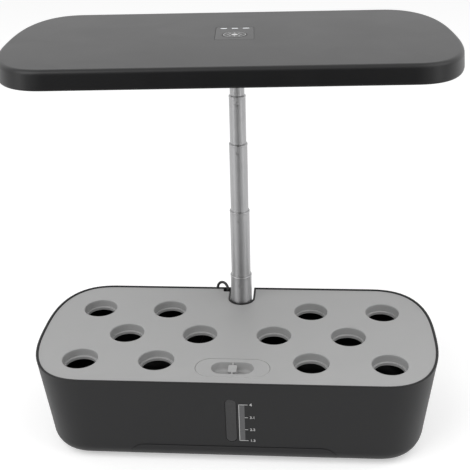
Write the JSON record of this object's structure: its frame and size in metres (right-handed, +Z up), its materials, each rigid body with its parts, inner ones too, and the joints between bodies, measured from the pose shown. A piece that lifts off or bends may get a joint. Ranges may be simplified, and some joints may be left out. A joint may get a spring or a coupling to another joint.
{
  "type": "countertop hydroponic garden",
  "caption": "Countertop hydroponic garden: drafted water tank, lift-out planting deck with a fill lid, submersible pump, and a lamp hood on a telescopic pole.",
  "frame": {"origin": "centre of the tank's footprint on the surface it stands on", "axes": "+Z up, -Y the front with the water window, +X to the right as seen from the front"},
  "size_m": [0.4, 0.2316, 0.4001],
  "materials": {
    "black_abs": "satin, fine moulded grain",
    "grey_abs": "satin",
    "smoked_polycarbonate": "gloss, smoked",
    "black_rubber": "matt",
    "brushed_steel_tube": "drawn and brushed",
    "black_nylon": "matt",
    "black_pump_abs": "satin",
    "zinc_screw_steel": "zinc plated",
    "nickel_contact": "nickel plated",
    "white_board": "white solder mask",
    "green_board": "green solder mask",
    "gloss_panel": "gloss",
    "clear_lens": "frosted clear",
    "white_impeller": "moulded",
    "stainless_shaft": "ground",
    "black_pvc": "satin PVC"
  },
  "bodies": {
    "tank": {"tank_shell": "black_abs", "foot_pad_1": "black_rubber", "foot_pad_2": "black_rubber", "foot_pad_3": "black_rubber", "foot_pad_4": "black_rubber", "water_window": "smoked_polycarbonate", "window_gasket": "black_rubber", "pole_socket": "black_nylon", "socket_screw_1": "zinc_screw_steel", "socket_screw_2": "zinc_screw_steel", "dc_inlet": "nickel_contact", "pump_jack": "nickel_contact", "pump_plug": "black_pvc", "pump_housing": "black_pump_abs", "pump_cover": "black_pump_abs", "pump_cup_1": "black_rubber", "pump_cup_2": "black_rubber", "pump_cup_3": "black_rubber", "pump_cup_4": "black_rubber", "pump_shaft": "stainless_shaft", "pump_cord": "black_pvc", "pole_tube_1": "brushed_steel_tube"},
    "deck": {"planting_deck": "grey_abs"},
    "lid": {"fill_lid": "grey_abs"},
    "stage_2": {"pole_tube_2": "brushed_steel_tube", "pole_bush_2": "black_nylon"},
    "stage_3": {"pole_tube_3": "brushed_steel_tube", "pole_bush_3": "black_nylon"},
    "stage_4": {"pole_tube_4": "brushed_steel_tube", "pole_bush_4": "black_nylon"},
    "stage_5": {"pole_tube_5": "brushed_steel_tube", "pole_bush_5": "black_nylon"},
    "hood": {"hood_shell": "black_abs", "hood_tray": "black_abs", "hood_screw_1": "zinc_screw_steel", "hood_screw_2": "zinc_screw_steel", "hood_screw_3": "zinc_screw_steel", "hood_screw_4": "zinc_screw_steel", "hood_screw_5": "zinc_screw_steel", "hood_screw_6": "zinc_screw_steel", "led_board": "white_board", "hood_socket": "black_nylon", "control_panel": "gloss_panel", "indicator_lens_1": "clear_lens", "indicator_lens_2": "clear_lens", "indicator_lens_3": "clear_lens", "driver_board": "green_board", "tact_switch": "black_nylon"},
    "key": {"mode_button": "gloss_panel"},
    "impeller": {"pump_impeller": "white_impeller"}
  },
  "joints": [
    {"name": "deck_lift", "type": "slide", "parent": "tank", "child": "deck", "axis": [0, 0, 1], "range_m": [0, 0.1]},
    {"name": "lid_lift", "type": "slide", "parent": "deck", "child": "lid", "axis": [0, 0, 1], "range_m": [0, 0.03]},
    {"name": "stage_2_slide", "type": "slide", "parent": "tank", "child": "stage_2", "axis": [0, 0, 1], "range_m": [-0.0715, 0]},
    {"name": "stage_3_slide", "type": "slide", "parent": "stage_2", "child": "stage_3", "axis": [0, 0, 1], "range_m": [-0.07, 0]},
    {"name": "stage_4_slide", "type": "slide", "parent": "stage_3", "child": "stage_4", "axis": [0, 0, 1], "range_m": [-0.046, 0.022]},
    {"name": "stage_5_slide", "type": "slide", "parent": "stage_4", "child": "stage_5", "axis": [0, 0, 1], "range_m": [-0.05, 0.012]},
    {"name": "hood_swivel", "type": "hinge", "parent": "stage_5", "child": "hood", "pos_m": [0, 0.069, 0.39], "axis": [0, 0, 1], "range_deg": [-93.5, 86.5]},
    {"name": "mode_key", "type": "slide", "parent": "hood", "child": "key", "axis": [0, 0, -1], "range_m": [0, 0.0004], "stiffness_N_per_m": 800, "springref_m": -0.001},
    {"name": "impeller_spin", "type": "hinge", "parent": "tank", "child": "impeller", "pos_m": [-0.05, 0.046, 0.0215], "axis": [0, -1, 0], "continuous": true}
  ]
}
